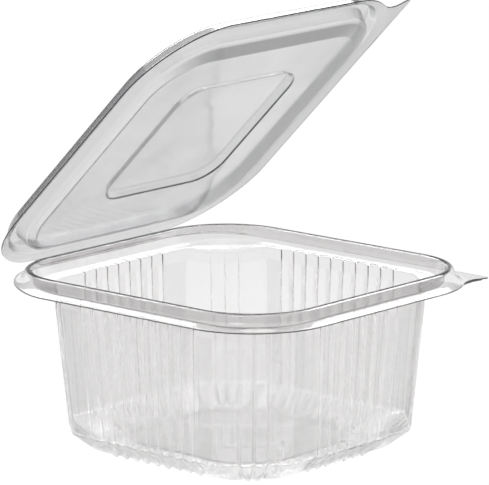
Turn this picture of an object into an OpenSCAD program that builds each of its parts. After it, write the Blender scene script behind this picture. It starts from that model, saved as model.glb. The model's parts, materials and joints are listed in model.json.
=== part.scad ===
// Hinged clear plastic pack: a ribbed square tub and its lid, thermoformed together from one sheet.
// Millimetres. Z is up, the front edge is at -Y and the hinge runs along X at the back.
// The origin is the middle of the plane that the foot stands on.

/* [Sheet] */
// Thickness of the formed sheet
sheet_t = 0.45; // [0.35:0.05:0.6]

/* [Rim] */
// Width of the rim, side to side
rim_w = 135; // [128:1:160]
// Depth of the rim, front to back
rim_d = 140.5; // [134:0.5:166]
// Corner radius of the rim in plan
rim_r = 33; // [28:1:38]
// Height of the rim's outer edge above the table
rim_z = 62; // [45:1:85]
// How far the rim slopes up from its edge to the bead
skirt_rise = 2.4; // [1.6:0.1:3]
// Width of the sloped rim, from its edge to the bead
skirt_w = 3.4; // [2.8:0.1:4.5]
// Height of the bead above the rim's edge
bead_h = 5.8; // [4.6:0.1:7]
// Width of the bead's flat top
bead_top_w = 1.9; // [1.2:0.1:3]
// How far each side of the bead leans outwards on its way down
bead_lean = 1.1; // [0.7:0.1:1.6]

/* [Tub wall] */
// Width across the ribs at the top of the wall
body_w = 114.4; // [104:0.2:115]
// Depth across the ribs at the top of the wall
body_d = 118.2; // [108:0.2:119]
// How far the corner facets cut back along each side
corner_cut = 20; // [16:1:26]
// Radius of the bends beside the corner facets
bend_r = 7; // [3:1:10]
// How far the wall leans in between its top and the knee
wall_lean = 3.4; // [1:0.2:6]
// Slope of the ledge inside the bead, as a fall per unit of width
ledge_fall = 0.42; // [0.2:0.02:0.6]

/* [Foot and floor] */
// Height of the knee, where the wall turns in to the foot
knee_z = 8; // [6:0.5:12]
// How far the foot's outer edge lies inside the knee
foot_inset = 9.4; // [6:0.2:13]
// Corner cut of the foot's outline
foot_cut = 13; // [9:1:18]
// Width of the flat land that the tub stands on
land_w = 4; // [2.5:0.5:6]
// Width of the scalloped edge outside the land
scallop_w = 1.8; // [1:0.1:3]
// Height of the grooves between the scallops at the foot's edge
scallop_rise = 1; // [0.4:0.1:1.6]
// Height of the raised floor's top above the table
floor_z = 3.9; // [2.5:0.1:6]
// Width of the slope from the land up to the raised floor
floor_slope_w = 3; // [2:0.2:5]

/* [Ribs] */
// Number of ribs on the left and right walls
side_ribs = 9; // [5:1:10]
// Number of ribs on the front and back walls
front_ribs = 7; // [4:1:9]
// Distance from rib to rib
rib_pitch = 6.2; // [5.2:0.1:6.6]
// Depth of the grooves between the ribs
groove_depth = 1; // [0.5:0.1:1.4]
// Width of a groove at the wall's face
groove_w = 1.9; // [1.2:0.1:2.6]
// Distance between the three grooves in a corner facet
corner_pitch = 5.4; // [4:0.2:6]
// Height over which the ribs grow out of the ledge
rib_fade = 3.2; // [2:0.2:6]

/* [Lid] */
// How far the lid's rim reaches past the tub's
lid_reach = 1.3; // [1:0.1:2]
// How much higher the lid's edge lies than a lid that hugs the tub's sloped rim
lid_edge_rise = 1.2; // [0:0.1:1.6]
// Clearance between the lid and the tub when it is shut
shut_gap = 0.4; // [0.35:0.05:0.6]
// How far the lid's flat top lies below the top of its bead
lid_drop = 6.9; // [6:0.1:7]
// Width of the slope that leads down to the lid's flat top
lid_slope_w = 3.4; // [2.4:0.1:5]
// Fall of that slope
lid_slope_fall = 1; // [0.6:0.1:1.4]
// Width of the raised panel in the lid
panel_w = 61; // [40:1:80]
// Depth of the raised panel in the lid
panel_d = 66; // [40:1:84]
// Corner radius of the raised panel
panel_r = 10; // [4:1:18]
// Height of the raised panel above the lid's flat top
panel_rise = 3; // [1:0.2:5]
// Width of the slope round the raised panel
panel_slope_w = 1.6; // [0.8:0.1:3]

/* [Hinge] */
// Distance from the tub's rim to the hinge crease
hinge_reach = 3.25; // [3:0.25:7]
// Length of the hinge web
hinge_w = 66; // [40:1:66]
// Height of the hinge crease above the rim's edge
crease_z = 2; // [1.6:0.05:2]
// Gap left at the crease on each side
crease_gap = 0.2; // [0.15:0.05:0.4]
// Angle between the lid and the shut position
open_angle = 45; // [0:0.2:180]

/* [Lift tab] */
// Distance from the rim's front edge back to the tip of the tab
tab_back = 5.5; // [3:0.5:9]
// Angle at which the tab's curve leaves the round corner
tab_angle = 57; // [50:1:62]

/* [Hidden] */

// Points along a bend of the wall
BEND = [0, 0.5, 1];
// Points in a quarter turn of the lid's rings
LID_ARC = 12;
// Points along the curved edge of a tab
TAB_STEPS = 12;

// Places of the grooves along a wall with n ribs, from its middle
function grooves(n, pitch) = [for (k = [0:n]) (k - n / 2) * pitch];
// A groove is three points: a lip, the bottom and a lip; the second number is the depth
function groove_points(n, pitch) =
    [for (s = grooves(n, pitch)) for (d = [-1, 0, 1]) [s + d * groove_w / 2, d == 0 ? 1 : 0]];
SIDE = groove_points(side_ribs, rib_pitch);
FRONT = groove_points(front_ribs, rib_pitch);
CORNER = groove_points(2, corner_pitch);

// Turn a point by quarter turns about Z
function quarter(p, q) =
    q == 0 ? p : q == 1 ? [-p[1], p[0]] : q == 2 ? [-p[0], -p[1]] : [p[1], -p[0]];

// One wall and the corner after it. a is the distance to the wall and b to the next wall.
// points are the wall's grooves, span is the flat half length of this wall at its top.
function wall_points(a, b, cut, depth, points, span) = let(
        t = bend_r * tan(22.5),
        flat = b - cut - t,
        facet = cut * sqrt(2) / 2,
        middle = [a - cut / 2, b - cut / 2],
        along = [-1, 1] / sqrt(2),
        out = [1, 1] / sqrt(2),
        v1 = [a, b - cut],
        v2 = [a - cut, b]
    ) concat(
        [for (p = points) [a - p[1] * depth, p[0] * flat / span]],
        [for (u = BEND) bend(v1 - [0, t], v1, v1 + along * t, u)],
        [for (p = CORNER) middle + along * p[0] * facet / (corner_cut * sqrt(2) / 2)
            - out * p[1] * depth],
        [for (u = BEND) bend(v2 - along * t, v2, v2 - [t, 0], u)]
    );
// A point on the round bend from p to r about the corner q
function bend(p, q, r, u) = p * (1 - u) * (1 - u) + q * 2 * u * (1 - u) + r * u * u;

// Flat half length of a wall at the top of the tub
function top_span(b) = b - corner_cut - bend_r * tan(22.5);

// Outline of the ribbed wall, set in from its top by inset
function body_outline(inset, cut, depth) = let(
        a = body_w / 2 - inset,
        b = body_d / 2 - inset
    ) [for (q = [0:3]) let(
            even = q % 2 == 0,
            points = even ? SIDE : FRONT,
            span = even ? top_span(body_d / 2) : top_span(body_w / 2)
        ) for (p = wall_points(even ? a : b, even ? b : a, cut, depth, points, span)) quarter(p, q)];

// Outline of the rim, set in from its edge, with the same number of points
function rim_outline(inset) = let(
        a = rim_w / 2 - inset,
        b = rim_d / 2 - inset,
        r = rim_r - inset,
        n = len(BEND) * 2 + len(CORNER)
    ) [for (q = [0:3]) let(
            even = q % 2 == 0,
            points = even ? SIDE : FRONT,
            span = even ? top_span(body_d / 2) : top_span(body_w / 2),
            near = even ? a : b,
            far = even ? b : a
        ) for (p = concat(
            [for (g = points) [near, g[0] * (far - r) / span]],
            [for (k = [0:n - 1]) let(u = 90 * k / (n - 1)) [near - r + r * cos(u), far - r + r * sin(u)]]
        )) quarter(p, q)];

// Plain rounded rectangle with n points in each corner
function rounded(a, b, r, n) =
    [for (q = [0:3]) for (k = [0:n - 1]) let(
            u = 90 * k / (n - 1),
            x = q % 2 == 0 ? a : b,
            y = q % 2 == 0 ? b : a
        ) quarter([x - r + r * cos(u), y - r + r * sin(u)], q)];

// Line of a section moved sideways by t, with its corners kept sharp
function moved_line(line, t) = let(
        last = len(line) - 1,
        unit = [for (k = [0:last - 1]) (line[k + 1] - line[k]) / norm(line[k + 1] - line[k])],
        side = [for (u = unit) [-u[1], u[0]]]
    ) [for (k = [0:last]) let(
            m = side[max(k - 1, 0)],
            n = side[min(k, last - 1)]
        ) line[k] + t * (m + n) / (1 + m * n)];

// Closed solid through rings of points, with a flat cap round a middle point at each end
module skin(rings) {
    n = len(rings[0]);
    last = len(rings) - 1;
    middle = n * (last + 1);
    faces = concat(
        [for (i = [0:n - 1]) [middle, (i + 1) % n, i]],
        [for (j = [0:last - 1]) for (i = [0:n - 1]) for (f = [0, 1]) let(
                a = j * n + i,
                b = j * n + (i + 1) % n
            ) f == 0 ? [a, a + n, b + n] : [a, b + n, b]],
        [for (i = [0:n - 1]) [middle + 1, last * n + i, last * n + (i + 1) % n]]
    );
    polyhedron(concat(
        [for (r = rings) for (p = r) p],
        [[0, 0, rings[0][0][2]], [0, 0, rings[last][0][2]]]
    ), faces);
}

// The rim is level with the hinge web at the back, so its edge lifts through the back corners
function back_lift(y, lift) = let(
        start = rim_d / 2 - rim_r,
        u = min(max((y - start) / rim_r, 0), 1)
    ) lift * u * u * (3 - 2 * u);

// Insets and heights of the rim's section, from the ledge outwards. Heights are above the rim's edge.
bead_in = skirt_w + 2 * bead_lean + bead_top_w;
ledge_z = 0.2;
tub_rim = [
    [bead_in, ledge_z],
    [bead_in - bead_lean, bead_h],
    [skirt_w + bead_lean, bead_h],
    [skirt_w, skirt_rise],
    [0, 0]
];

// Stations of the wall's section: inset, corner cut, height, groove depth, lift of the grooves
floor_in = wall_lean + foot_inset + scallop_w + land_w + floor_slope_w;
land_in = floor_in - floor_slope_w;
scallop_in = land_in - land_w;
foot_in = scallop_in - scallop_w;
ledge_w = (rim_w - body_w) / 2 - bead_in;
wall_top_z = rim_z + ledge_z - ledge_w * ledge_fall;
tub_wall = [
    [floor_in, foot_cut, floor_z - sheet_t, 0, 0],
    [land_in, foot_cut, 0, 0, 0],
    [scallop_in, foot_cut, 0, 0, 0],
    [foot_in, foot_cut, 0, groove_depth, scallop_rise],
    [wall_lean, corner_cut, knee_z, groove_depth, 0],
    [0, corner_cut, wall_top_z - rib_fade, groove_depth, 0],
    [0, corner_cut, wall_top_z, 0, 0]
];

// Section of the tub's side, as distances from the middle and heights, and the same line inside
tub_under = concat(
    [for (s = tub_wall) [body_w / 2 - s[0], s[2]]],
    [for (s = tub_rim) [rim_w / 2 - s[0], rim_z + s[1] - sheet_t]]
);
tub_over = moved_line(tub_under, sheet_t);
WALLS = len(tub_wall);

// Ring of the wall: moved is how far the section's point lies from the one underneath
function wall_ring(k, point) = let(
        s = tub_wall[k],
        inwards = s[0] + tub_under[k][0] - point[0],
        cut = s[1] - (2 - sqrt(2)) * (tub_under[k][0] - point[0]),
        deep = body_outline(inwards, cut, s[3]),
        plain = body_outline(inwards, cut, 0),
        rim = rim_outline(bead_in),
        drop = k >= WALLS - 2 ? ledge_fall : 0
    ) [for (i = [0:len(deep) - 1]) let(
            fall = drop * max(norm(rim[i] - plain[i]) - ledge_w, 0),
            lift = s[3] == 0 ? 0 : s[4] * norm(deep[i] - plain[i]) / s[3]
        ) [deep[i][0], deep[i][1], point[1] - fall + lift]];

// Ring of the rim
function rim_ring(point, lift) = [
    for (p = rim_outline(rim_w / 2 - point[0])) [p[0], p[1], point[1] + back_lift(p[1], lift)]
];

function tub_rings(line) = [for (k = [0:len(line) - 1])
    k < WALLS ? wall_ring(k, line[k])
        : rim_ring(line[k], k == len(line) - 1 ? crease_z - crease_gap : 0)];

function reversed(list) = [for (k = [len(list) - 1:-1:0]) list[k]];

// Curve from p to s, pulled towards q and r
function curve(p, q, r, s, n) = [for (k = [0:n]) let(u = k / n, v = 1 - u)
    p * v * v * v + q * 3 * v * v * u + r * 3 * v * u * u + s * u * u * u];

// Pointed lift tab that fills the front right corner outside the round rim
module tab(grow) {
    centre = [rim_w / 2 - rim_r, rim_r - rim_d / 2];
    r = rim_r + grow;
    tip = [rim_w / 2 + grow, tab_back - rim_d / 2 - grow];
    start = centre + r * [cos(tab_angle), -sin(tab_angle)];
    pull = rim_r * 0.36;
    lip = sheet_t;
    linear_extrude(sheet_t)
        polygon(concat(
            [for (k = [TAB_STEPS:-1:0]) let(u = tab_angle * k / TAB_STEPS)
                centre + (r - lip) * [cos(u), -sin(u)]],
            [centre + [r, 0]],
            curve(tip, tip - [pull * 0.3, pull * 0.08], start + pull * [sin(tab_angle), cos(tab_angle)],
                start, TAB_STEPS)
        ));
}

// Flat strip that carries one half of the hinge
module hinge_web(from_y, to_y, z) {
    translate([-hinge_w / 2, from_y, z])
        cube([hinge_w, to_y - from_y, sheet_t]);
}

crease_y = rim_d / 2 + hinge_reach;
// The webs start over the sloped rim, where they are part of its flat back edge
web_start = rim_d / 2 - skirt_w / 2;

module tub() {
    color([0.87, 0.89, 0.89, 0.5])
        union() {
            skin(concat(tub_rings(tub_under), reversed(tub_rings(tub_over))));
            translate([0, 0, rim_z - sheet_t])
                tab(0);
            hinge_web(web_start, crease_y - crease_gap, rim_z + crease_z - crease_gap - sheet_t);
        }
}

// The lid's section follows the tub's rim at the shut gap and then dips inside it
nest = sheet_t + shut_gap;
lid_top = bead_h + nest;
lid_plug = bead_in + nest + sheet_t;
lid_rim = [
    [-lid_reach, nest + lid_edge_rise],
    [skirt_w - nest - sheet_t / 2, skirt_rise + nest],
    [skirt_w + bead_lean - nest, lid_top],
    [lid_plug - bead_lean, lid_top],
    [lid_plug, lid_top - lid_drop + lid_slope_fall],
    [lid_plug + lid_slope_w, lid_top - lid_drop]
];
lid_over = [for (s = lid_rim) [rim_w / 2 - s[0], rim_z + s[1]]];
panel_over = [
    [panel_w / 2 + panel_slope_w, rim_z + lid_top - lid_drop],
    [panel_w / 2, rim_z + lid_top - lid_drop + panel_rise]
];
lid_over_line = concat(lid_over, panel_over);
lid_under_line = moved_line(lid_over_line, sheet_t);
LID_RIM = len(lid_rim);

// Ring of the lid in its shut position
function lid_ring(k, point) = let(
        flat = k < LID_RIM,
        a = point[0],
        b = flat ? rim_d / 2 - rim_w / 2 + a : panel_d / 2 - panel_w / 2 + a,
        r = flat ? rim_r - rim_w / 2 + a : panel_r - panel_w / 2 + a,
        lift = k == 0 ? crease_z + crease_gap - shut_gap - lid_edge_rise : 0
    ) [for (p = rounded(a, b, max(r, 1), LID_ARC)) [p[0], p[1], point[1] + back_lift(p[1], lift)]];

function lid_rings(line) = [for (k = [0:len(line) - 1]) lid_ring(k, line[k])];

module lid() {
    color([0.8, 0.82, 0.82, 0.5])
        translate([0, crease_y, rim_z + crease_z])
            rotate([-open_angle, 0, 0])
                translate([0, -crease_y, -rim_z - crease_z])
                    union() {
                        skin(concat(reversed(lid_rings(lid_under_line)), lid_rings(lid_over_line)));
                        translate([0, 0, rim_z + nest + lid_edge_rise - sheet_t])
                            tab(lid_reach);
                        hinge_web(web_start, crease_y - crease_gap, rim_z + crease_z + crease_gap);
                    }
}

tub();
lid();
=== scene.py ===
import json
import math

import bpy
from mathutils import Matrix


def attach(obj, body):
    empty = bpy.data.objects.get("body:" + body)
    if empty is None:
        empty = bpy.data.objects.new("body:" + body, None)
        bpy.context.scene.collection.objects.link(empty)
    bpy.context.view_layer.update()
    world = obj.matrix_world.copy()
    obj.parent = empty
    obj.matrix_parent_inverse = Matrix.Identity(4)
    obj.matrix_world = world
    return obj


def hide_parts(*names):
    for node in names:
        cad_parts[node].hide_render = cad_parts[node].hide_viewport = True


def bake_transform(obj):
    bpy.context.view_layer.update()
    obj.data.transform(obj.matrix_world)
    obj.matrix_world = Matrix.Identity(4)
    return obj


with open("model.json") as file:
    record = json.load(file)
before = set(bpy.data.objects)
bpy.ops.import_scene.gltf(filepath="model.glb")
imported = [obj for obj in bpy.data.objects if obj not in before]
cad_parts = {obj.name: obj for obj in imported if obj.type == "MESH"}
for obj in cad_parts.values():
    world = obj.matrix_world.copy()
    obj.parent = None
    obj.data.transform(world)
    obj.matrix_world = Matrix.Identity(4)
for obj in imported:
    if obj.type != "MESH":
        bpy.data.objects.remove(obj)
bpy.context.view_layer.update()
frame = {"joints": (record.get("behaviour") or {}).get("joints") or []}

# Tub. A deep tray of clear PET sheet, drawn down into a mould with hot air and vacuum. Its ribs, cut
# corners and scalloped foot stiffen the thin wall, and the lid snaps on the bead round its rim.

MM = 0.001
SHEET = 0.45
# the die-cut edge of the rim: half width and half depth, corner radius and height
RIM = (67.5, 70.25)
RIM_R = 33.0
RIM_Z = 62.0
# width and rise of the sloped skirt between the edge and the bead, and the bead on it
SKIRT_W = 3.4
SKIRT_RISE = 2.4
BEAD_H = 5.8
BEAD_TOP_W = 1.9
BEAD_LEAN = 1.1
BEAD_IN = SKIRT_W + BEAD_TOP_W + 2 * BEAD_LEAN
BEAD_Z = RIM_Z + BEAD_H - SHEET
WEB_LIFT = 1.8  # the edge rises this much round the back, to meet the hinge web
# the wall over its ribs, under the ledge: half width and half depth, corner cut and bends beside it
WALL = (57.2, 59.1)
WALL_LEAN = 3.4
CORNER_CUT = 20.0
BEND_R = 7.0
LEDGE_Z = 0.2
LEDGE_W = RIM[0] - WALL[0] - BEAD_IN
LEDGE_FALL = 0.42
WALL_TOP = RIM_Z + LEDGE_Z - LEDGE_W * LEDGE_FALL
KNEE_Z = 8.0
# the foot: corner cut, insets of its outer edge, of its flat land and of the raised floor
FOOT_CUT = 13.0
FOOT_IN = 12.8
FOOT_EDGE_Z = 0.7
LAND_IN = (14.6, 18.6)
FLOOR_IN = 21.6
FLOOR_Z = 3.9
# ribs on the right, back, left and front walls, and their pitch; a corner facet has two ribs
RIBS = (9, 7, 9, 7)
PITCH = 6.2
FACET_RIBS = 2
FACET_PITCH = 5.4
BEND_PARTS = 5
BEND_SHARE = 0.24  # share of the rim's round corner that stands over each bend of the wall


def quarter(x, y, turn):
    """A point turned by quarter turns round the tub."""
    return ((x, y), (-y, x), (-x, -y), (y, -x))[turn]


def smooth(u):
    """0 to 1 with a soft start and end."""
    u = min(max(u, 0.0), 1.0)
    return u * u * (3 - 2 * u)


def mix(p, q, u):
    return tuple(a + (b - a) * u for a, b in zip(p, q))


def groove_places(ribs, pitch):
    """Places along a wall, dense at its grooves: distance, and how far on towards the wall's end."""
    half = ribs * pitch / 2
    near = 0.75  # half the width of the dense stretch at a groove
    places = []
    for k in range(ribs + 1):
        middle = k * pitch - half
        places += [(middle + d, 0.0) for d in (-near, -0.48, -0.24, 0.0, 0.24, 0.48, near)]
        if k < ribs:
            places += [(middle + near + (pitch - 2 * near) * t, 0.0) for t in (0.17, 0.38, 0.62, 0.83)]
    ends = [(half + near, t) for t in (0.3, 0.65)]
    return [(-s, t) for s, t in reversed(ends)] + places + ends


def ring_plan():
    """One entry for each point round the tub, the same on every ring."""
    entries = []
    bend = [k / BEND_PARTS for k in range(BEND_PARTS + 1)]
    for turn in range(4):
        far = WALL[1] if turn % 2 == 0 else WALL[0]
        span = far - CORNER_CUT - BEND_R * math.tan(math.pi / 8)
        for s, t in groove_places(RIBS[turn], PITCH):
            entries.append({"turn": turn, "part": "wall", "s": s, "t": t, "span": span,
                            "ribs": RIBS[turn], "pitch": PITCH})
        facet = CORNER_CUT / math.sqrt(2) - BEND_R * math.tan(math.pi / 8)
        for u in bend:
            entries.append({"turn": turn, "part": "bend in", "u": u, "corner": BEND_SHARE * u})
        for s, t in groove_places(FACET_RIBS, FACET_PITCH):
            at = s + math.copysign(t, s) * (facet - abs(s))
            entries.append({"turn": turn, "part": "facet", "s": s, "t": t, "ribs": FACET_RIBS,
                            "pitch": FACET_PITCH, "corner": 0.5 + (0.5 - BEND_SHARE) * at / facet})
        for u in bend:
            entries.append({"turn": turn, "part": "bend out", "u": u,
                            "corner": 1 - BEND_SHARE + BEND_SHARE * u})
    return entries


def wall_point(entry, inset, cut):
    """Where a ring's point lies on the ribbed wall, before the grooves are pressed in."""
    a, b = WALL if entry["turn"] % 2 == 0 else WALL[::-1]
    a, b = a - inset, b - inset
    t = BEND_R * math.tan(math.pi / 8)
    if entry["part"] == "wall":
        flat = b - cut - t
        s = entry["s"] * flat / entry["span"]
        x, y = a, s + (math.copysign(flat, s) - s) * entry["t"]
    elif entry["part"] == "facet":
        facet = cut / math.sqrt(2)
        s = entry["s"] * facet / (CORNER_CUT / math.sqrt(2))
        s += (math.copysign(facet - t, s) - s) * entry["t"]
        x = a - cut / 2 - s / math.sqrt(2)
        y = b - cut / 2 + s / math.sqrt(2)
    else:
        d = t / math.sqrt(2)
        if entry["part"] == "bend in":
            p, q, r = (a, b - cut - t), (a, b - cut), (a - d, b - cut + d)
        else:
            p, q, r = (a - cut + d, b - d), (a - cut, b), (a - cut - t, b)
        x, y = mix(mix(p, q, entry["u"]), mix(q, r, entry["u"]), entry["u"])
    return quarter(x, y, entry["turn"])


def rim_point(entry, inset):
    """Where a ring's point lies on the round rim."""
    a, b = RIM if entry["turn"] % 2 == 0 else RIM[::-1]
    a, b, r = a - inset, b - inset, RIM_R - inset
    if entry["part"] == "wall":
        s = entry["s"] * (b - r) / entry["span"]
        return quarter(a, s + (math.copysign(b - r, s) - s) * entry["t"], entry["turn"])
    angle = math.pi / 2 * entry["corner"]
    return quarter(a - r + r * math.cos(angle), b - r + r * math.sin(angle), entry["turn"])


def corner(z, inset=0.0, cut=CORNER_CUT, rim=BEAD_IN, share=0, groove=0, lift=0, fall=0, bend=0, rings=1):
    """A corner of the tub's section, along the outside of the sheet: its height, the wall's inset and
    corner cut, the rim's inset, the rim's share in its place, depth and lift of the grooves, and how
    much of the ledge's fall it takes. Then the size of its bend and how many rings lead to it."""
    return (inset, cut, rim, share, z, groove, lift, fall), bend, rings


SECTION = [
    corner(FLOOR_Z - SHEET, FLOOR_IN + 3.4, FOOT_CUT),  # on the raised floor, inside its edge
    corner(FLOOR_Z - SHEET, FLOOR_IN, FOOT_CUT, bend=0.9),
    corner(0, LAND_IN[1], FOOT_CUT, bend=0.8, rings=2),
    corner(0, LAND_IN[0], FOOT_CUT, bend=0.5, rings=2),
    corner(FOOT_EDGE_Z, FOOT_IN, FOOT_CUT, groove=1, lift=2, bend=1.0, rings=2),
    corner(KNEE_Z, WALL_LEAN, groove=0.9, lift=0.5, bend=1.0, rings=14),
    corner(WALL_TOP - 5, groove=1, fall=1, rings=4),
    corner(WALL_TOP, groove=1, lift=-0.42, fall=1, bend=0.5, rings=5),
    corner(RIM_Z + LEDGE_Z - SHEET, share=1, bend=0.6, rings=2),
    corner(BEAD_Z, rim=BEAD_IN - BEAD_LEAN, share=1, bend=0.65),
    corner(BEAD_Z, rim=SKIRT_W + BEAD_LEAN, share=1, bend=0.65),
    corner(RIM_Z + SKIRT_RISE - SHEET, rim=SKIRT_W, share=1, bend=1.5, rings=2),
    corner(RIM_Z + 0.15 - SHEET, rim=0.8, share=1, bend=0.7),
    corner(RIM_Z - SHEET, rim=0, share=1),
]


def rounded_section(section, reach):
    """The values of every ring along a section: those on the small round bend at each corner, and
    those in between. reach gives the length between two corners."""
    lengths = [reach(p[0], q[0]) for p, q in zip(section, section[1:])]
    last = len(section) - 1
    out = [section[0][0]]
    for k in range(1, last + 1):
        p, bend_before, _ = section[k - 1]
        q, bend, rings = section[k]
        start = bend_before / lengths[k - 1] if k > 1 else 0.0
        end = 1 - (bend / lengths[k - 1] if k < last else 0.0)
        out += [mix(p, q, start + (end - start) * i / rings) for i in range(1, rings + 1)]
        if k < last and bend > 0:
            before = mix(q, p, bend / lengths[k - 1])
            after = mix(q, section[k + 1][0], bend / lengths[k])
            out += [mix(mix(before, q, u), mix(q, after, u), u) for u in (0.25, 0.5, 0.75, 1.0)]
    return out


def tub_reach(p, q):
    across = (p[0] - q[0]) + (p[2] - q[2]) + (p[3] - q[3]) * LEDGE_W
    return math.hypot(across, p[4] - q[4])


def back_lift(y, lift):
    """The rim's edge rises from the start of the back corners to the hinge web."""
    return lift * smooth((y - (RIM[1] - RIM_R)) / RIM_R)


def strength_at(marks, inset, z):
    """Strength of the marks at a place of the section. A mark is a line from (inset, height) to (inset,
    height) with its half width, over whose outer half it fades, and its strength."""
    most = 0.0
    for (ax, az), (bx, bz), width, strength in marks:
        ux, uz = bx - ax, bz - az
        along = min(max(((inset - ax) * ux + (z - az) * uz) / max(ux * ux + uz * uz, 1e-9), 0), 1)
        away = math.hypot(inset - ax - along * ux, z - az - along * uz)
        most = max(most, strength * min(max((width - away) / (0.5 * width), 0), 1))
    return most


# painted shade: a dark line on the top of the bead
PAINTED_SHADE_MARKS = [((5.8, BEAD_Z), (5.1, BEAD_Z), 0.4, 0.72)]
# painted shade: the tub's tab is tinted grey
PAINTED_TAB_SHADE = 0.16
# painted highlights: where the sheet was drawn far into the mould it is thinner, and it is made clearer and
# brighter there, most of all at hard bends
THIN_AND_PAINTED_HIGHLIGHT_MARKS = [
    ((WALL_LEAN - 0.4, KNEE_Z + 3), (0, 54), 3.0, 0.28),  # wall
    ((WALL_LEAN, KNEE_Z), (WALL_LEAN, KNEE_Z), 1.1, 1.0),  # knee
    ((FOOT_IN, FOOT_EDGE_Z), (4.0, 7.5), 1.5, 0.34),  # slope under the knee
    ((LAND_IN[0], 0), (FOOT_IN, FOOT_EDGE_Z), 2.0, 0.45),  # scallops
    ((LAND_IN[1], 0), (LAND_IN[0], 0), 2.0, 0.45),  # land
    ((LAND_IN[1], 0), (FLOOR_IN - 0.4, 2.9), 1.0, 0.9),  # slope up to the raised floor
]

# What each point carries. phase is its place along the wall, in pitches from the first groove; foot is its
# distance up from the foot's edge; into is the way in which a groove is pressed there. NO_RIB is far
# from any groove. shade is a painted shade, and the last value is the painted highlight where the sheet
# was drawn thin; both are what the sheet's material reads.
NO_RIB = -20.0
PLAIN = {"phase": NO_RIB, "rib count": 0, "pitch": PITCH * MM, "foot": 0.0, "into": (0.0, 0.0, 0.0),
         "shade": 0.0, "thin_and_painted_highlight": 0.0}
PAST_GROOVES = 9  # pitches by which the phase runs on over a wall's plain end
FACET_GROOVE = 0.778  # a facet's grooves are this much as deep as a wall's

plan = ring_plan()
count = len(plan)
points, carried, faces = [], [], []
rings = rounded_section(SECTION, tub_reach)
for inset, cut, rim_inset, share, z, groove, lift, drop in rings:
    for entry in plan:
        wx, wy = wall_point(entry, inset, cut)
        rx, ry = rim_point(entry, rim_inset)
        x, y = wx + (rx - wx) * share, wy + (ry - wy) * share
        top = wall_point(entry, 0, CORNER_CUT)
        fall = LEDGE_FALL * drop * max(math.dist(rim_point(entry, BEAD_IN), top) - LEDGE_W, 0)
        edge = max(0.0, 1 - rim_inset / SKIRT_W) if share == 1 else 0.0
        points.append((x * MM, y * MM, (z - fall + back_lift(y, WEB_LIFT * edge)) * MM))
        own = dict(PLAIN)
        if "pitch" in entry:
            own["phase"] = entry["s"] / entry["pitch"] + entry["ribs"] / 2
            own["phase"] += PAST_GROOVES * entry["t"] * math.copysign(1, entry["s"])
            own["rib count"] = entry["ribs"]
            own["pitch"] = entry["pitch"] * MM
            diagonal = -FACET_GROOVE / math.sqrt(2)
            nx, ny = quarter(*((diagonal, diagonal) if entry["part"] == "facet" else (-1, 0)), entry["turn"])
            own["into"] = (nx * groove, ny * groove, lift)
        else:
            own["into"] = (0.0, 0.0, lift)
        if inset < FOOT_IN:
            own["foot"] = math.hypot(FOOT_IN - inset, z - FOOT_EDGE_Z) * MM
        if share == 1:
            own["shade"] = strength_at(PAINTED_SHADE_MARKS, rim_inset, z)
        if share == 0:
            own["thin_and_painted_highlight"] = strength_at(THIN_AND_PAINTED_HIGHLIGHT_MARKS, inset, z)
        carried.append(own)
for j in range(len(rings) - 1):
    for i in range(count):
        n = (i + 1) % count
        faces.append((j * count + i, j * count + n, (j + 1) * count + n, (j + 1) * count + i))

# the raised floor closes inwards in wider rings to its middle
outer = 0
for scale in (0.8, 0.45):
    start = len(points)
    points += [(x * scale, y * scale, z) for x, y, z in points[:count]]
    for i in range(count):
        n = (i + 1) % count
        faces.append((start + i, start + n, outer + n, outer + i))
    outer = start
points.append((0, 0, points[0][2]))
faces += [(len(points) - 1, outer + (i + 1) % count, outer + i) for i in range(count)]
carried += [PLAIN] * (len(points) - len(carried))


def add_tab(points, faces, ring, grow, z):
    """The lift tab: the sheet's edge drawn out to a point at the front right corner. ring holds the
    edge's points, and grow says how far the edge stands out past the tub's."""
    centre = (RIM[0] - RIM_R, RIM_R - RIM[1])
    r = RIM_R + grow
    stop = math.radians(57)  # where the tab's curve leaves the round corner
    tip = (RIM[0] + grow, 5.5 - RIM[1] - grow)
    chosen = []
    for i in ring:
        x, y = points[i][0] / MM - centre[0], points[i][1] / MM - centre[1]
        angle = math.atan2(-y, x)
        if -0.001 <= angle <= stop + 0.02 and math.hypot(x, y) > r - 0.6:
            chosen.append((angle, i))
    chosen.sort()
    # the tab's own edge: straight on from the side to the tip, then a curve back to the corner
    end = chosen[-1][0]
    start = (centre[0] + r * math.cos(end), centre[1] - r * math.sin(end))
    pull = RIM_R * 0.36
    near_tip = (tip[0] - pull * 0.3, tip[1] - pull * 0.08)
    near_start = (start[0] + pull * math.sin(end), start[1] + pull * math.cos(end))
    straight = 0.62  # share of the edge's points on the straight stretch
    outline = []
    for k in range(len(chosen)):
        u = k / (len(chosen) - 1)
        if u <= straight:
            outline.append((tip[0], centre[1] + (tip[1] - centre[1]) * u / straight))
        else:
            v = (u - straight) / (1 - straight)
            first = mix(mix(tip, near_tip, v), mix(near_tip, near_start, v), v)
            second = mix(mix(near_tip, near_start, v), mix(near_start, start, v), v)
            outline.append(mix(first, second, v))
    before = [i for _, i in chosen]
    rows = 4
    for row in range(1, rows + 1):
        now = []
        for (_, i), (ox, oy) in zip(chosen, outline):
            x, y, _ = points[i]
            now.append(len(points))
            points.append((x + (ox * MM - x) * row / rows, y + (oy * MM - y) * row / rows, z * MM))
        for k in range(len(before) - 1):
            faces.append((before[k + 1], before[k], now[k], now[k + 1]))
        before = now


add_tab(points, faces, range((len(rings) - 1) * count, len(rings) * count), 0.0, RIM_Z - SHEET)
carried += [{**PLAIN, "shade": PAINTED_TAB_SHADE}] * (len(points) - len(carried))


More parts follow.
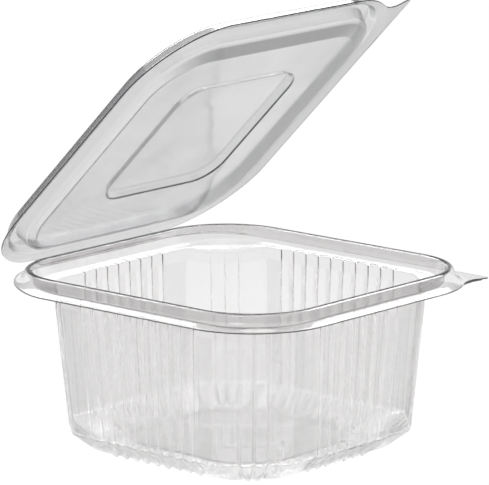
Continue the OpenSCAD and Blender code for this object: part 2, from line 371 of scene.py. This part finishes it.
def node(tree, kind, inputs=None, **settings):
    """One node with its settings; inputs are values or the sockets that feed it."""
    made = tree.nodes.new(kind)
    for key, value in settings.items():
        setattr(made, key, value)
    for key, value in (inputs or {}).items():
        if isinstance(value, bpy.types.NodeSocket):
            tree.links.new(value, made.inputs[key])
        else:
            made.inputs[key].default_value = value
    return made


def rib_tree():
    """Presses the grooves between the ribs into the wall, and bows the ribs out between them. Each rib
    ends round at the foot, where the grooves on its two sides meet."""
    tree = bpy.data.node_groups.new("ribs of the wall", "GeometryNodeTree")
    face = tree.interface
    face.new_socket("Geometry", in_out="INPUT", socket_type="NodeSocketGeometry")
    for name in ("Groove depth", "Groove width", "Groove slope", "Rib crown"):
        face.new_socket(name, in_out="INPUT", socket_type="NodeSocketFloat")
    face.new_socket("Sheet", in_out="INPUT", socket_type="NodeSocketMaterial")
    face.new_socket("Geometry", in_out="OUTPUT", socket_type="NodeSocketGeometry")
    given = tree.nodes.new("NodeGroupInput").outputs

    def read(name, kind="FLOAT"):
        return node(tree, "GeometryNodeInputNamedAttribute", {"Name": name}, data_type=kind).outputs[0]

    def sums(operation, a, b=0.0):
        return node(tree, "ShaderNodeMath", {0: a, 1: b}, operation=operation).outputs[0]

    # distance from the nearest groove's middle, and 1 between the first and the last groove of a wall
    along, ribs, step = read("phase"), read("rib count"), read("pitch")
    nearest = sums("MINIMUM", sums("MAXIMUM", sums("ROUND", along), 0.0), ribs)
    away = sums("MULTIPLY", sums("ABSOLUTE", sums("SUBTRACT", along, nearest)), step)
    slack = 0.0001
    inside = sums("MULTIPLY", sums("GREATER_THAN", along, -slack),
                  sums("LESS_THAN", along, sums("ADD", ribs, slack)))
    # distance in from a rib's edge, whose foot is a half circle, or past the outermost groove's edge
    radius = sums("MULTIPLY", sums("SUBTRACT", step, given["Groove width"]), 0.5)
    off_axis = sums("SUBTRACT", sums("MULTIPLY", step, 0.5), away)
    below = sums("MAXIMUM", sums("SUBTRACT", radius, read("foot")), 0.0)
    reach = sums("SQRT", sums("ADD", sums("MULTIPLY", off_axis, off_axis), sums("MULTIPLY", below, below)))
    on_rib = sums("SUBTRACT", radius, reach)
    past = sums("SUBTRACT", away, sums("MULTIPLY", given["Groove width"], 0.5))
    from_edge = sums("ADD", sums("MULTIPLY", on_rib, inside),
                     sums("MULTIPLY", past, sums("SUBTRACT", 1.0, inside)))
    pressed = node(tree, "ShaderNodeMapRange", {
        "Value": from_edge, "From Min": sums("MULTIPLY", given["Groove slope"], -1.0),
        "From Max": given["Groove slope"], "To Min": 1.0, "To Max": 0.0,
    }, interpolation_type="SMOOTHSTEP").outputs[0]
    turned = sums("MULTIPLY", sums("DIVIDE", away, step), math.pi)
    crown = sums("MULTIPLY", sums("MULTIPLY", sums("SINE", turned), inside), given["Rib crown"])
    crown = sums("MULTIPLY", crown, sums("SUBTRACT", 1.0, pressed))
    move = sums("SUBTRACT", sums("MULTIPLY", pressed, given["Groove depth"]), crown)
    offset = node(tree, "ShaderNodeVectorMath", {0: read("into", "FLOAT_VECTOR"), "Scale": move},
                  operation="SCALE").outputs[0]
    moved = node(tree, "GeometryNodeSetPosition", {"Geometry": given["Geometry"], "Offset": offset})
    round_off = node(tree, "GeometryNodeSetShadeSmooth", {0: moved.outputs[0]})
    real = node(tree, "GeometryNodeRealizeInstances", {0: round_off.outputs[0]})
    done = node(tree, "GeometryNodeSetMaterial", {0: real.outputs[0], "Material": given["Sheet"]})
    node(tree, "NodeGroupOutput", {0: done.outputs[0]})
    return tree


def mesh_object(name, points, faces, material):
    mesh = bpy.data.meshes.new(name)
    mesh.from_pydata(points, [], faces)
    mesh.materials.append(material)
    made = bpy.data.objects.new(name, mesh)
    bpy.context.scene.collection.objects.link(made)
    return made


def thicken(obj, thickness, offset):
    """Gives a surface its wall; the material after the surface's own, if there is one, goes on its edge."""
    sheet = obj.modifiers.new("sheet", "SOLIDIFY")
    sheet.thickness = thickness * MM
    sheet.offset = offset
    sheet.material_offset_rim = len(obj.data.materials) - 1


def finished(obj):
    """The object with its modifiers worked into a plain mesh, its helper attributes gone and its sharp
    edges marked."""
    graph = bpy.context.evaluated_depsgraph_get()
    mesh = bpy.data.meshes.new_from_object(obj.evaluated_get(graph))
    obj.modifiers.clear()
    old = obj.data
    obj.data = mesh
    bpy.data.meshes.remove(old)
    for name in ("phase", "rib count", "pitch", "foot", "into"):
        if name in mesh.attributes:
            mesh.attributes.remove(mesh.attributes[name])
    mesh.name = obj.name
    mesh.shade_smooth()
    mesh.set_sharp_from_angle(angle=math.radians(48))
    return obj


def linear(code):
    """A colour written as sRGB hex, for a shader."""
    parts = [int(code[i:i + 2], 16) / 255 for i in (1, 3, 5)]
    return tuple(c / 12.92 if c <= 0.04045 else ((c + 0.055) / 1.055) ** 2.4 for c in parts) + (1.0,)


def new_material(name):
    """A material with no nodes yet, and its node tree."""
    material = bpy.data.materials.new(name)
    material.use_nodes = True
    material.node_tree.nodes.clear()
    return material, material.node_tree


def clear_sheet(name, face_on, edge_on, start, rough):
    """Clear PET sheet, thermoformed. It gives the eye gloss on both sides, slow waves from the mould, a
    grey that deepens where the sheet is seen along its surface, painted shade as grey and dark lines at
    marked bends and bead walls, and painted highlights where it was drawn thin. Lamps shine through it.
    start is where edge_on sets in, and rough is the mean roughness."""
    material, tree = new_material(name)
    place = node(tree, "ShaderNodeTexCoord").outputs["Object"]
    # slow waves in which the hot sheet flowed, some 26 mm long
    flow = node(tree, "ShaderNodeTexNoise", {
        "Vector": place, "Scale": 1 / (26.3 * MM), "Detail": 1.5, "Roughness": 0.4})
    # fine mould texture, drawn as coarse as 2.4 mm so that it shows in the render
    grain = node(tree, "ShaderNodeTexNoise", {"Vector": place, "Scale": 1 / (2.38 * MM), "Detail": 2.0})
    swell = node(tree, "ShaderNodeBump", {
        "Height": flow.outputs[0], "Strength": 0.25, "Distance": 1.2 * MM})
    skin = node(tree, "ShaderNodeBump", {
        "Height": grain.outputs[0], "Strength": 0.04, "Distance": 0.3 * MM, "Normal": swell.outputs[0]})
    # the way through the sheet grows longer the more it is seen along its surface
    facing = node(tree, "ShaderNodeLayerWeight", {"Blend": 0.5})
    ramp = node(tree, "ShaderNodeMapRange", {
        "Value": facing.outputs["Facing"], "From Min": start, "From Max": 1.03,
    }, interpolation_type="SMOOTHSTEP")
    tint = node(tree, "ShaderNodeMix", {0: ramp.outputs[0], 6: linear(face_on), 7: linear(edge_on)},
                data_type="RGBA")
    # painted shade: the shade attribute greys the sheet at marked bends and bead walls
    shade = node(tree, "ShaderNodeAttribute", attribute_name="shade").outputs["Fac"]
    tint = node(tree, "ShaderNodeMix", {0: shade, 6: tint.outputs[2], 7: linear("#585959")},
                data_type="RGBA")
    gloss = node(tree, "ShaderNodeMapRange", {
        "Value": flow.outputs[0], "From Min": 0.3, "From Max": 0.7,
        "To Min": rough * 0.6, "To Max": rough * 1.5})
    plastic = node(tree, "ShaderNodeBsdfPrincipled", {
        "Base Color": tint.outputs[2], "Roughness": gloss.outputs[0], "IOR": 1.57,
        "Transmission Weight": 1.0, "Normal": skin.outputs[0]})
    # painted shade: the strongest shade marks mix in a dark diffuse, a dark line at the tightest bends
    dark = node(tree, "ShaderNodeBsdfDiffuse", {"Color": linear("#4A4B4B"), "Normal": skin.outputs[0]})
    line = node(tree, "ShaderNodeMapRange", {
        "Value": shade, "From Min": 0.4, "From Max": 1.0, "To Max": 0.8})
    painted_dark_line_mix = node(tree, "ShaderNodeMixShader", {
        0: line.outputs[0], 1: plastic.outputs[0], 2: dark.outputs[0]})
    # painted highlight: where the sheet was drawn far it is made clearer; at the hardest bends it is clear
    # in patches of 1.5 mm
    thin_and_painted_highlight = node(tree, "ShaderNodeAttribute", attribute_name="thin_and_painted_highlight").outputs["Fac"]
    patch = node(tree, "ShaderNodeTexNoise", {"Vector": place, "Scale": 1 / (1.54 * MM), "Detail": 2.0})
    broken = node(tree, "ShaderNodeMapRange", {
        "Value": patch.outputs[0], "From Min": 0.38, "From Max": 0.62, "To Min": 0.5, "To Max": 1.2})
    patchy = node(tree, "ShaderNodeMapRange", {"Value": thin_and_painted_highlight, "From Min": 0.35, "From Max": 0.5})
    uneven = node(tree, "ShaderNodeMix", {0: patchy.outputs[0], 2: 1.0, 3: broken.outputs[0]})
    thin_painted_highlight_share = node(tree, "ShaderNodeMath", {0: thin_and_painted_highlight, 1: uneven.outputs[0]}, operation="MULTIPLY",
                   use_clamp=True)
    clear = node(tree, "ShaderNodeBsdfTransparent", {"Color": linear("#FFFFFF")})
    drawn = node(tree, "ShaderNodeMixShader", {
        0: thin_painted_highlight_share.outputs[0], 1: painted_dark_line_mix.outputs[0], 2: clear.outputs[0]})
    # lamps shine through the sheet instead of throwing a dark shadow
    ray = node(tree, "ShaderNodeLightPath")
    pass_on = node(tree, "ShaderNodeBsdfTransparent", {"Color": linear("#F2F4F4")})
    both = node(tree, "ShaderNodeMixShader", {
        0: ray.outputs["Is Shadow Ray"], 1: drawn.outputs[0], 2: pass_on.outputs[0]})
    node(tree, "ShaderNodeOutputMaterial", {"Surface": both.outputs[0]})
    return material


# The cut edge is seen as a dark, slightly rough line; its dark grey is painted shade.
cut_edge_painted_dark, tree = new_material("die-cut edge of clear PET")
place = node(tree, "ShaderNodeTexCoord").outputs["Object"]
# the nibbled face that the cutting die leaves, in steps of 1.1 mm
nibble = node(tree, "ShaderNodeTexNoise", {"Vector": place, "Scale": 1 / (1.11 * MM), "Detail": 3.0})
painted_dark_greys = node(tree, "ShaderNodeMix", {0: nibble.outputs[0], 6: linear("#2E2F2F"), 7: linear("#555656")},
             data_type="RGBA")
burr = node(tree, "ShaderNodeBump", {"Height": nibble.outputs[0], "Strength": 0.4, "Distance": 0.2 * MM})
edge = node(tree, "ShaderNodeBsdfPrincipled", {
    "Base Color": painted_dark_greys.outputs[2], "Roughness": 0.35, "IOR": 1.57, "Transmission Weight": 0.3,
    "Normal": burr.outputs[0]})
node(tree, "ShaderNodeOutputMaterial", {"Surface": edge.outputs[0]})

tub_pet = clear_sheet("thermoformed clear PET, tub", "#EBEAEA", "#8B8A8A", 0.8, 0.045)
tub = mesh_object("tub_sheet", points, faces, tub_pet)
tub.data.materials.append(cut_edge_painted_dark)
for name, plain in PLAIN.items():
    if isinstance(plain, tuple):
        data = tub.data.attributes.new(name, "FLOAT_VECTOR", "POINT").data
        data.foreach_set("vector", [c for own in carried for c in own[name]])
    else:
        data = tub.data.attributes.new(name, "FLOAT", "POINT").data
        data.foreach_set("value", [own[name] for own in carried])

press = tub.modifiers.new("ribs", "NODES")
press.node_group = rib_tree()
sockets = {s.name: s.identifier for s in press.node_group.interface.items_tree if s.in_out == "INPUT"}
for name, value in (("Groove depth", 0.6 * MM), ("Groove width", 0.6 * MM), ("Groove slope", 0.4 * MM),
                    ("Rib crown", 0.5 * MM), ("Sheet", tub_pet)):
    press[sockets[name]] = value
thicken(tub, SHEET, -1)
finished(tub)
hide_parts("tub")
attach(tub, "tub")

# Lid. Formed from the same clear PET sheet, beside the tub and in the same stroke. Its bead nests over
# the tub's, its flat top dips inside the rim, and a raised panel keeps it stiff.

hinge = frame["joints"][0]
OPEN = math.radians(-hinge["range_deg"][0])
CREASE = [c / MM for c in hinge["pos_m"][1:]]  # y and z of the hinge's line
# shut, the lid's outside lies this far above the tub's; heights are above the tub's edge
NEST = SHEET + 0.4
LID_REACH = 1.3  # how far the lid's edge stands out past the tub's
LID_EDGE_Z = NEST + 1.2
LID_WEB_LIFT = 0.6  # the shut lid's edge rises this much round the back, to meet the hinge web
LID_TOP = BEAD_H + NEST
LID_FLAT = LID_TOP - 6.9  # height of the flat top
# insets from the tub's edge: the bead's outer and inner foot, and the flat top's edge
FLANGE_IN = 2.33
PLUG_IN = BEAD_IN + NEST + SHEET
FLAT_IN = PLUG_IN + 3.4
PANEL = (30.5, 33.0)  # half width and half depth of the panel's top
PANEL_R = 10.0
PANEL_RISE = 2.3
PANEL_IN = 35.6  # inset of the panel's foot
OUTLINE_IN = 35.4  # from here inwards the rings have the panel's outline
# at the front the flat top starts this much further in, and at the back the panel does
FRONT_SHIFT = 4.8
PANEL_SHIFT = 2.0
ARC_POINTS = 30
SIDE_PARTS = 14

# inset and height of each corner, the size of its bend, and how many rings lead to it
LID_SECTION = [
    ((-LID_REACH, LID_EDGE_Z), 0, 1),
    ((FLANGE_IN, SKIRT_RISE + NEST), 0.7, 2),
    ((SKIRT_W + BEAD_LEAN - NEST, LID_TOP), 0.75, 1),
    ((PLUG_IN - BEAD_LEAN, LID_TOP), 0.85, 2),
    ((PLUG_IN, LID_FLAT + 1), 0.8, 2),
    ((FLAT_IN, LID_FLAT), 0.5, 2),
    ((PANEL_IN, LID_FLAT), 0.4, 5),
    ((PANEL_IN + 1.2, LID_FLAT + PANEL_RISE), 0.8, 1),
    ((RIM[0], LID_FLAT + PANEL_RISE), 0, 3),
]
MIDDLE_IN = 56  # rings further in than this are left out, and a fan of triangles fills the middle

# Painted shade: grey lines and bands, as marks of the section, each with its share on the right, back, left
# and front, greyer on the sides that the light leaves darker.
LID_PAINTED_SHADE_MARKS = [
    (((-LID_REACH, LID_EDGE_Z), (1.8, 3.1), 0.8, 0.24), (1, 0.2, 0.1, 0.3)),  # flange
    (((2.6, 3.9), (3.5, 6.2), 1.2, 0.3), (0, 0, 1, 0.1)),  # bead's outer wall
    (((7.8, 6.2), (8.7, LID_FLAT + 1.4), 1.0, 0.4), (0.75, 0.1, 0.2, 0.1)),  # bead's inner wall
    (((9.6, LID_FLAT + 0.8), (12.0, LID_FLAT), 0.5, 0.5), (0.1, 0, 0, 1)),  # slope to the flat top
    (((FLAT_IN, LID_FLAT), (FLAT_IN, LID_FLAT), 0.5, 0.5), (0.6, 0.3, 1, 0)),  # flat top's edge
    (((PANEL_IN, LID_FLAT), (PANEL_IN, LID_FLAT), 0.32, 0.8), (1, 1, 0.6, 0.2)),  # panel's foot
    (((35.8, LID_FLAT + 0.4), (36.8, LID_FLAT + 1.8), 0.8, 0.16), (1, 1, 1, 1)),  # panel's wall
]
# painted shade: the lid's tab is tinted grey
LID_PAINTED_TAB_SHADE = 0.24
SIDE_POWER = 8  # how sharply one side's share gives way to the next at the corners


def lid_ring(inset):
    """Rounded rectangle of the lid, which turns into the panel's outline further in."""
    a, b, r = RIM[0] - inset, RIM[1] - inset, max(RIM_R - inset, 1.0)
    inner = min(max((inset - FLAT_IN) / (OUTLINE_IN - FLAT_IN), 0), 1)
    b += (PANEL[1] - PANEL[0] + a - b) * inner
    r += (max(PANEL_R - PANEL[0] + a, 1.0) - r) * inner
    ring = []
    for turn in range(4):
        near, far = (a, b) if turn % 2 == 0 else (b, a)
        for k in range(1, SIDE_PARTS):
            ring.append(quarter(near, (2 * k / SIDE_PARTS - 1) * (far - r), turn))
        for k in range(ARC_POINTS):
            angle = math.pi / 2 * k / (ARC_POINTS - 1)
            ring.append(quarter(near - r + r * math.cos(angle), far - r + r * math.sin(angle), turn))
    front = FRONT_SHIFT * min(max((inset - PLUG_IN) / (FLAT_IN - PLUG_IN), 0), 1 - inner)
    back = PANEL_SHIFT * inner
    return [(x, y * (1 - (front if y < 0 else back) / b)) for x, y in ring]


def painted_shade_on_side(x, y, strengths):
    """The strongest of the lid's painted shade marks, by how far the place lies on each side."""
    sides = [max(u, 0) ** SIDE_POWER for u in (x / RIM[0], y / RIM[1], -x / RIM[0], -y / RIM[1])]
    total = max(sum(sides), 1e-6)
    return max(strength * sum(a * b for a, b in zip(sides, shares)) / total
               for strength, (_, shares) in zip(strengths, LID_PAINTED_SHADE_MARKS))


lid_points, lid_faces, lid_painted_shade = [], [], []
lid_rings = [ring for ring in rounded_section(LID_SECTION, math.dist) if ring[0] < MIDDLE_IN]
for inset, z in lid_rings:
    lift = LID_WEB_LIFT * max(0.0, (FLANGE_IN - inset) / (FLANGE_IN + LID_REACH))
    strengths = [strength_at([mark], inset, z) for mark, _ in LID_PAINTED_SHADE_MARKS]
    for x, y in lid_ring(inset):
        lid_points.append((x * MM, y * MM, (RIM_Z + z + back_lift(y, lift)) * MM))
        lid_painted_shade.append(painted_shade_on_side(x, y, strengths))
count = 4 * (SIDE_PARTS - 1 + ARC_POINTS)
for j in range(len(lid_rings) - 1):
    for i in range(count):
        n = (i + 1) % count
        lid_faces.append((j * count + i, j * count + n, (j + 1) * count + n, (j + 1) * count + i))
last = (len(lid_rings) - 1) * count
lid_points.append((0, 0, lid_points[last][2]))
lid_painted_shade.append(0.0)
lid_faces += [(last + i, last + (i + 1) % count, last + count) for i in range(count)]
before_tab = len(lid_faces)
add_tab(lid_points, lid_faces, range(count), LID_REACH, RIM_Z + LID_EDGE_Z)
# the lid's rings run inwards, the tub's outwards, so the tab's faces are turned over
lid_faces[before_tab:] = [face[::-1] for face in lid_faces[before_tab:]]
lid_painted_shade += [LID_PAINTED_TAB_SHADE] * (len(lid_points) - len(lid_painted_shade))


def opened(point):
    """A point of the shut lid, turned to where it stands open."""
    x, y, z = point
    dy, dz = y - CREASE[0] * MM, z - CREASE[1] * MM
    return (x, CREASE[0] * MM + dy * math.cos(OPEN) + dz * math.sin(OPEN),
            CREASE[1] * MM - dy * math.sin(OPEN) + dz * math.cos(OPEN))


# painted shade: the lid's copy of the same sheet is tinted darker than the tub's and greys sooner as it
# turns edge-on
lid_pet_painted_darker = clear_sheet("thermoformed clear PET, lid", "#DEDEDF", "#5E5F5F", 0.5, 0.09)
lid = mesh_object("lid_sheet", [opened(p) for p in lid_points], lid_faces, lid_pet_painted_darker)
lid.data.materials.append(cut_edge_painted_dark)
lid.data.attributes.new("shade", "FLOAT", "POINT").data.foreach_set("value", lid_painted_shade)
thicken(lid, SHEET, -1)
finished(lid)
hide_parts("lid")
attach(lid, "lid")

# Living hinge. The sheet itself is the hinge: a strip between the two rims, creased along its middle,
# which folds sharply when the lid shuts and straightens when it is laid open.

WEB_HALF = 33.0
WEB_SHEET = 0.4
WEB_COLUMNS = 25
CREASE_GAP = 0.2  # height of each half above or below the crease, with the lid shut
CREASE_TIP = (CREASE[0] + 0.05, CREASE[1] - 0.05)  # the curve round the crease is drawn towards it
# y of the points along each half, from the tub's rim to the crease and from the crease to the lid's rim
TUB_HALF = (RIM[1] + 0.3, CREASE[0] - 2.1, CREASE[0] - 1.1, CREASE[0] - 0.6)
LID_HALF = (CREASE[0] - 0.6, CREASE[0] - 1.0, CREASE[0] - 1.4, RIM[1] + 1.2)


def web_section():
    """The strip's middle line from the tub's rim round the crease to the lid's, as (y, z)."""
    tub_side = [(y, CREASE[1] - CREASE_GAP - SHEET / 2) for y in TUB_HALF]
    lid_side = []
    for y in LID_HALF:
        _, ty, tz = opened((0, y * MM, (CREASE[1] + CREASE_GAP + SHEET / 2) * MM))
        lid_side.append((ty / MM, tz / MM))
    a, b = tub_side[-1], lid_side[0]
    crease = [mix(mix(a, CREASE_TIP, u), mix(CREASE_TIP, b, u), u) for u in (0.2, 0.4, 0.6, 0.8)]
    return tub_side + crease + lid_side


line = web_section()
web_points, web_faces = [], []
for y, z in line:
    for i in range(WEB_COLUMNS):
        web_points.append(((2 * i / (WEB_COLUMNS - 1) - 1) * WEB_HALF * MM, y * MM, z * MM))
for j in range(len(line) - 1):
    for i in range(WEB_COLUMNS - 1):
        a = j * WEB_COLUMNS + i
        web_faces.append((a, a + WEB_COLUMNS, a + WEB_COLUMNS + 1, a + 1))
web = mesh_object("hinge_web", web_points, web_faces, tub_pet)
thicken(web, WEB_SHEET, 0)
finished(web)
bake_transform(web)

# Studio. White paper and a white room, as for a catalogue picture, with soft boxes above and beside the
# pack, and dark flags all round that draw the outlines of the clear sheet.

scene = bpy.context.scene
scene.view_settings.view_transform = "Standard"


def white_where_seen(tree):
    """1 for the rays that see the background, directly or in gloss or through the sheet, and 0 for the
    rays that light the pack."""
    rays = node(tree, "ShaderNodeLightPath").outputs
    seen = rays["Is Camera Ray"]
    for kind in ("Is Glossy Ray", "Is Transmission Ray"):
        seen = node(tree, "ShaderNodeMath", {0: seen, 1: rays[kind]}, operation="MAXIMUM").outputs[0]
    return seen


# Paper: matt, and seen as an even white under and behind the pack
paper, tree = new_material("white paper")
matt = node(tree, "ShaderNodeBsdfDiffuse", {"Color": linear("#8C8C8C")})
white = node(tree, "ShaderNodeEmission", {"Color": (1, 1, 1, 1), "Strength": 0.84})
glow = node(tree, "ShaderNodeMixShader", {0: white_where_seen(tree), 2: white.outputs[0]})
total = node(tree, "ShaderNodeAddShader", {0: matt.outputs[0], 1: glow.outputs[0]})
node(tree, "ShaderNodeOutputMaterial", {"Surface": total.outputs[0]})
PAPER_HALF = 6
floor = mesh_object("paper_floor", [(-PAPER_HALF, -PAPER_HALF, 0), (PAPER_HALF, -PAPER_HALF, 0),
                                    (PAPER_HALF, PAPER_HALF, 0), (-PAPER_HALF, PAPER_HALF, 0)],
                    [(0, 1, 2, 3)], paper)
floor.location.z = -0.4 * MM

world = bpy.data.worlds.new("white room")
scene.world = world
world.use_nodes = True
tree = world.node_tree
tree.nodes.clear()
level = node(tree, "ShaderNodeMapRange", {"Value": white_where_seen(tree), "To Min": 0.55, "To Max": 1.0})
sky = node(tree, "ShaderNodeBackground", {"Color": (1, 1, 1, 1), "Strength": level.outputs[0]})
node(tree, "ShaderNodeOutputWorld", {"Surface": sky.outputs[0]})


def soft_box(name, place, size, power):
    """A soft box that points at the pack's middle."""
    lamp = bpy.data.lights.new(name, "AREA")
    lamp.shape = "RECTANGLE"
    lamp.size, lamp.size_y = size
    lamp.energy = power
    made = bpy.data.objects.new(name, lamp)
    made.location = place
    x, y, z = (aim - at for aim, at in zip((0, 0, 0.05), place))
    made.rotation_euler = (math.atan2(math.hypot(x, y), -z), 0, math.atan2(y, x) - math.pi / 2)
    scene.collection.objects.link(made)
    return made


# a row of boxes round the back, whose light the sloped rims and ledges mirror, a smaller one at each
# end of it, and two weak fills; turns in degrees, powers in watts
BOX_RING = 0.93
for where, turns, height, size, power in (("behind", (12, 45, 78), 0.93, (0.9, 0.56), 4.2),
                                          ("beside", (-10, 100), 0.9, (0.4, 0.4), 1.5)):
    for number, turn in enumerate(turns):
        x, y = BOX_RING * math.cos(math.radians(turn)), BOX_RING * math.sin(math.radians(turn))
        box = soft_box("box_%s_%d" % (where, number), (x, y, height), size, power)
        box.visible_diffuse = False
soft_box("box_left", (-1.3, -0.4, 1.0), (0.5, 0.9), 3)
soft_box("box_above", (0.0, -0.1, 1.4), (0.5, 0.5), 2)

# Flag cloth: dull black, seen only in the sheet's gloss and refraction
cloth, tree = new_material("black flag cloth")
dull = node(tree, "ShaderNodeBsdfDiffuse", {"Color": linear("#2A2A2A")})
node(tree, "ShaderNodeOutputMaterial", {"Surface": dull.outputs[0]})
FLAG_RING = 1.25
FLAG_TOP = 0.9
FLAGS = 24
flag_points, flag_faces = [], []
for k in range(FLAGS):
    turn = 2 * math.pi * k / FLAGS
    low = 0.27
    low += 0.14 * smooth((math.cos(turn - 0.72) - 0.4) / 0.3)  # raised towards the back boxes
    low -= 0.25 * smooth((math.cos(turn - 2.0) - 0.8) / 0.15)  # lowered where the lid's side mirrors it
    x, y = FLAG_RING * math.cos(turn), FLAG_RING * math.sin(turn)
    flag_points += [(x, y, low), (x, y, FLAG_TOP)]
    a, b = 2 * k, 2 * ((k + 1) % FLAGS)
    flag_faces.append((a, a + 1, b + 1, b))
flags = mesh_object("black_flags", flag_points, flag_faces, cloth)
flags.visible_camera = False
flags.visible_shadow = False
flags.visible_diffuse = False

# The camera looks down at 12 degrees past the tub's left front corner, through a long lens. Its numbers
# are those of the view that was fitted to the photograph.
azimuth, rise, roll = math.radians(-48.596), math.radians(12.097), math.radians(-0.112)
TARGET = (0, 0, RIM_Z * MM)
RIM_WIDTH = 2 * RIM[0] * MM
BACK_BY, SIDE_BY, UP_BY = 12.966, 0.015, 0.109  # from the target, in widths of the rim
FOCAL_PIXELS, PHOTO_PIXELS = 4705.9, 489  # focal length and width of the photograph
SENSOR = 36
back = (math.sin(azimuth) * math.cos(rise), -math.cos(azimuth) * math.cos(rise), math.sin(rise))
right = (math.cos(azimuth), math.sin(azimuth), 0.0)
up = (back[1] * right[2] - back[2] * right[1], back[2] * right[0] - back[0] * right[2],
      back[0] * right[1] - back[1] * right[0])
side = [math.cos(roll) * r + math.sin(roll) * u for r, u in zip(right, up)]
top = [-math.sin(roll) * r + math.cos(roll) * u for r, u in zip(right, up)]
spot = [c + RIM_WIDTH * (BACK_BY * b + SIDE_BY * s + UP_BY * t)
        for c, b, s, t in zip(TARGET, back, side, top)]
lens = bpy.data.cameras.new("camera")
lens.sensor_width = SENSOR
lens.lens = FOCAL_PIXELS / PHOTO_PIXELS * SENSOR
lens.clip_end = 50
camera = bpy.data.objects.new("camera", lens)
camera.matrix_world = Matrix([[side[i], top[i], back[i], spot[i]] for i in range(3)] + [[0, 0, 0, 1]])
scene.collection.objects.link(camera)
scene.camera = camera
